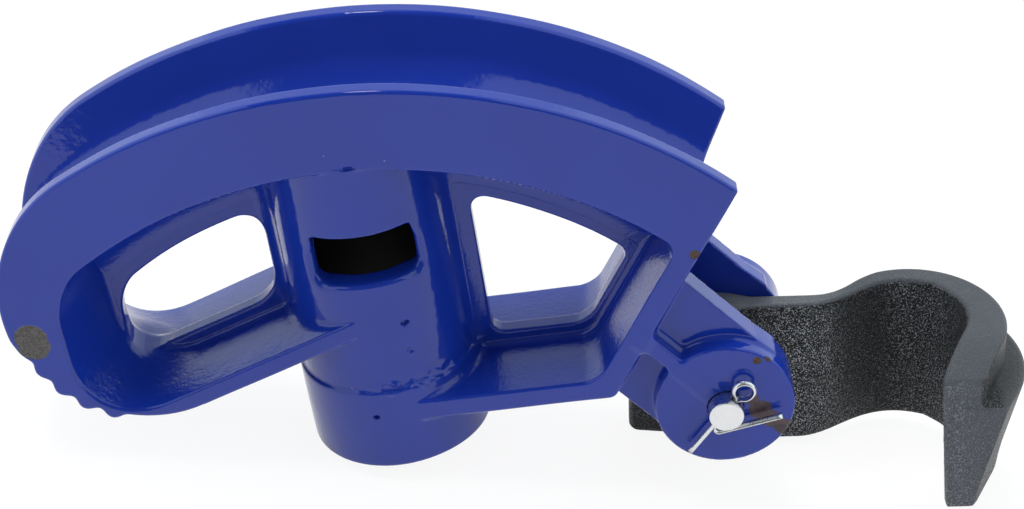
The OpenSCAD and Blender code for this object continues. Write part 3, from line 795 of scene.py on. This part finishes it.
# Painted shade: the deep bore is coloured near black.
colour = blend(tree, bore, colour, BORE_SHADE_AND_IRON)
tree.links.new(colour, shader.inputs["Base Color"])
chipped = math(tree, "MAXIMUM", bare, chips)
stained = math(tree, "MAXIMUM", bore, math(tree, "MULTIPLY", smear, 0.5))
worn = math(tree, "MAXIMUM", chipped, stained)
tree.links.new(remap(tree, worn, 0.0, 1.0, GLOSS, DULL), shader.inputs["Roughness"])
sunk = math(tree, "SUBTRACT", height, math(tree, "MULTIPLY", chipped, 0.9))
bumped(tree, shader, sunk, 0.5, 0.0004)
print("enamel nodes", len(tree.nodes))

# %% [markdown]
# ### Black casting
# The hook has a thin black coat on rough iron. The grain is strong, and its glints are painted into
# the colour as fine pale specks on the tops of the grains, strongest in two bands: on the arm and deep
# in the saddle. The leg's end and the rib are worn to a plain grey, and the smooth top is a lighter
# grey, a painted sheen.

# %% Black coat on the hook
# The pale grain-top colour is a painted glint.
BLACK, PALE_BLACK, GRAIN_GLINT = (0.004, 0.0042, 0.0052, 1), (0.016, 0.017, 0.02, 1), (0.62, 0.63, 0.67, 1)
# The top's grey is a painted sheen; the leg's end and the rib are a plain worn grey.
GREY_END, GREY_RIB, SHEEN_GREY_TOP = (0.17, 0.177, 0.21, 1), (0.07, 0.072, 0.078, 1), (0.072, 0.077, 0.088, 1)
# Two bands across the arm and the saddle where the painted glints are strongest.
GLINT_BANDS = [(0.1155, 0.016, 1.0), (0.149, 0.012, 0.65)]
tree, shader, place = material(hook_piece, "black casting")
shader.inputs["Specular IOR Level"].default_value = 0.25
torn = math(tree, "MULTIPLY_ADD", noise(tree, place, 260.0, 3.0, 0.6), 2.4, -1.2)
top = remap(tree, math(tree, "ADD", mark(tree, "top"), torn), -1.0, -0.6)
front = remap(tree, mark(tree, "front"), -0.9, -0.3)
rough = use(tree, grain, Vector=place, Size=2500.0)
lumps = noise(tree, place, 120.0, 2.0)
across = node(tree, "ShaderNodeSeparateXYZ", {0: place}).outputs["X"]
bands = []
for centre, half, most in GLINT_BANDS:
    aside = math(tree, "ABSOLUTE", math(tree, "SUBTRACT", across, centre))
    bands.append(remap(tree, aside, half, 0.003, 0.3, most))
glint_share = math(tree, "MAXIMUM", *bands)
# Painted glints: pale specks on the grain tops, strongest in the two bands.
coat = blend(tree, math(tree, "MULTIPLY", rough["Glints"], glint_share), BLACK, GRAIN_GLINT)
coat = blend(tree, remap(tree, lumps, 0.35, 0.7, 0.0, 0.3), coat, PALE_BLACK)
coat = blend(tree, math(tree, "MULTIPLY", front, 0.5), coat, GREY_END)
coat = blend(tree, remap(tree, across, 0.1655, 0.1675, 0.0, 0.75), coat, GREY_RIB)
# Painted sheen: the smooth top is coloured a lighter grey.
coat = blend(tree, math(tree, "MULTIPLY", top, 0.85), coat, SHEEN_GREY_TOP)
tree.links.new(coat, shader.inputs["Base Color"])
tree.links.new(remap(tree, rough["Height"], 0.5, 1.1, 0.45, 0.3), shader.inputs["Roughness"])
grit = math(tree, "MULTIPLY", rough["Height"], math(tree, "MULTIPLY_ADD", top, -0.7, 1.0))
bumped(tree, shader, math(tree, "ADD", grit, math(tree, "MULTIPLY", lumps, 0.8)), 1.0, 0.0007)
print("black coat nodes", len(tree.nodes))

# %% [markdown]
# ### Zinc
# Both pins are zinc plated: bright, slightly cloudy, with fine scratches from tumbling.

# %% Zinc on the pins
ZINC, PALE_ZINC = (0.66, 0.67, 0.69, 1), (0.86, 0.86, 0.87, 1)
for piece in (pin_piece, split_piece):
    tree, shader, place = material(piece, "zinc")
    cloud = noise(tree, place, 300.0, 3.0, 0.6)
    tree.links.new(blend(tree, cloud, ZINC, PALE_ZINC), shader.inputs["Base Color"])
    tree.links.new(remap(tree, cloud, 0.3, 0.7, 0.22, 0.38), shader.inputs["Roughness"])
    shader.inputs["Metallic"].default_value = 1.0
    bumped(tree, shader, use(tree, grain, Vector=place, Size=2200.0)["Height"], 0.25, 0.0002)
print("zinc on", pin_piece.name, split_piece.name)

# %% [markdown]
# ## Floor and light
# The head lies on a white ground. It touches at two places: the rim of the socket's mouth and
# the underside of the hook. The ground's tilt in the part's frame is found by halving until both
# touch. For the camera the floor is white but for its shadow. The light is a studio: white cards
# with sharp edges behind and on both sides, and a dark room above and in front. The gloss shows
# the cards as pale bands whose edges are torn by the wavy enamel, as low in the groove. A broad
# lamp overhead and a weaker one in front are screened from the gloss, as with polarised light, so
# that they colour the enamel without glare. A small lamp behind leaves the bright lines on edges.

# %% Floor under the two lowest points
def vertices(piece):
    """The piece's points as one array."""
    flat = np.empty(len(piece.data.vertices) * 3, np.float32)
    piece.data.vertices.foreach_get("co", flat)
    return flat.reshape(-1, 3).astype(float)


shoe_points, hook_points = vertices(shoe_piece), vertices(hook_piece)
low_tilt, high_tilt = np.radians(2), np.radians(20)
for _ in range(40):
    tilt = (low_tilt + high_tilt) / 2
    rise = np.array([np.sin(tilt), 0, np.cos(tilt)])
    if (shoe_points @ rise).min() < (hook_points @ rise).min():
        high_tilt = tilt
    else:
        low_tilt = tilt
level = min((shoe_points @ rise).min(), (hook_points @ rise).min())
along = np.array([np.cos(tilt), 0, -np.sin(tilt)])
square = [(-3, -3), (3, -3), (3, 3), (-3, 3)]
floor_mesh = bpy.data.meshes.new("floor")
floor_points = [rise * level + along * s + np.array([0, t, 0]) for s, t in square]
floor_mesh.from_pydata([point.tolist() for point in floor_points], [], [(0, 1, 2, 3)])
floor = bpy.data.objects.new("floor", floor_mesh)
bpy.context.scene.collection.objects.link(floor)
print("floor tilt", np.degrees(tilt).round(2), "level", round(float(level), 4))

# %% White ground that keeps its shadow
made = bpy.data.materials.new("white ground")
made.use_nodes = True
floor_mesh.materials.append(made)
tree = made.node_tree
tree.nodes.clear()
path = node(tree, "ShaderNodeLightPath").outputs
mirrored = math(tree, "MAXIMUM", path["Is Glossy Ray"], path["Is Transmission Ray"])
seen = math(tree, "MAXIMUM", path["Is Camera Ray"], mirrored)
glow = node(tree, "ShaderNodeEmission", {"Color": (1, 1, 1, 1), "Strength": 0.9})
faint = node(tree, "ShaderNodeBsdfDiffuse", {"Color": (0.12, 0.12, 0.12, 1)})
white = node(tree, "ShaderNodeAddShader", {0: glow.outputs[0], 1: faint.outputs[0]})
plain = node(tree, "ShaderNodeBsdfDiffuse", {"Color": (0.92, 0.92, 0.92, 1)})
both = node(tree, "ShaderNodeMixShader", {0: seen, 1: plain.outputs[0], 2: white.outputs[0]})
node(tree, "ShaderNodeOutputMaterial", {"Surface": both.outputs[0]})
print("white ground", len(tree.nodes), "nodes")

# %% Cards and lamps
SIDE_EDGE, SIDE_FRONT, SIDE_GLOW = (0.31, 0.38), (-0.65, -0.6), 1.45
BACK_EDGE, BACK_TOP = (0.2, 0.3), (0.87, 0.8)
CARD, ROOM, WHITE = 0.8, 0.12, (0.87, 0.97, 1, 1)
world = bpy.data.worlds.new("dome")
bpy.context.scene.world = world
world.use_nodes = True
tree = world.node_tree
way = node(tree, "ShaderNodeSeparateXYZ", {0: node(tree, "ShaderNodeTexCoord").outputs["Generated"]}).outputs
sides = math(tree, "MULTIPLY", remap(tree, math(tree, "ABSOLUTE", way["X"]), *SIDE_EDGE),
             remap(tree, way["Y"], *SIDE_FRONT, 0.0, SIDE_GLOW))
behind = math(tree, "MULTIPLY", remap(tree, way["Y"], *BACK_EDGE), remap(tree, way["Z"], *BACK_TOP))
cards = math(tree, "MAXIMUM", behind, sides)
room = tree.nodes["Background"].inputs
tree.links.new(math(tree, "MULTIPLY_ADD", cards, CARD, ROOM), room["Strength"])
room["Color"].default_value = WHITE


def add_sun(name, energy, angle, towards):
    """A lamp at infinity, as wide as angle, in the direction towards it."""
    sun = bpy.data.objects.new(name, bpy.data.lights.new(name, "SUN"))
    bpy.context.scene.collection.objects.link(sun)
    sun.data.energy, sun.data.angle = energy, np.radians(angle)
    back = np.array(towards) / np.linalg.norm(towards)
    side = np.cross([0, 1, 0], back)
    side /= np.linalg.norm(side)
    facing = np.eye(4)
    facing[:3, 0], facing[:3, 1], facing[:3, 2] = side, np.cross(back, side), back
    sun.matrix_world = Matrix(facing.tolist())
    print(name, "from", back.round(2))


add_sun("overhead lamp", 1.55, 30, (0.0, 0.03, 0.999))
add_sun("fill lamp", 0.15, 30, (0.0, -0.8, 0.6))
add_sun("rear lamp", 0.35, 6, (0.0, 0.3, 0.954))
for glare_free in ("overhead lamp", "fill lamp"):
    bpy.data.objects[glare_free].visible_glossy = False
bpy.context.scene.view_settings.view_transform = "Standard"
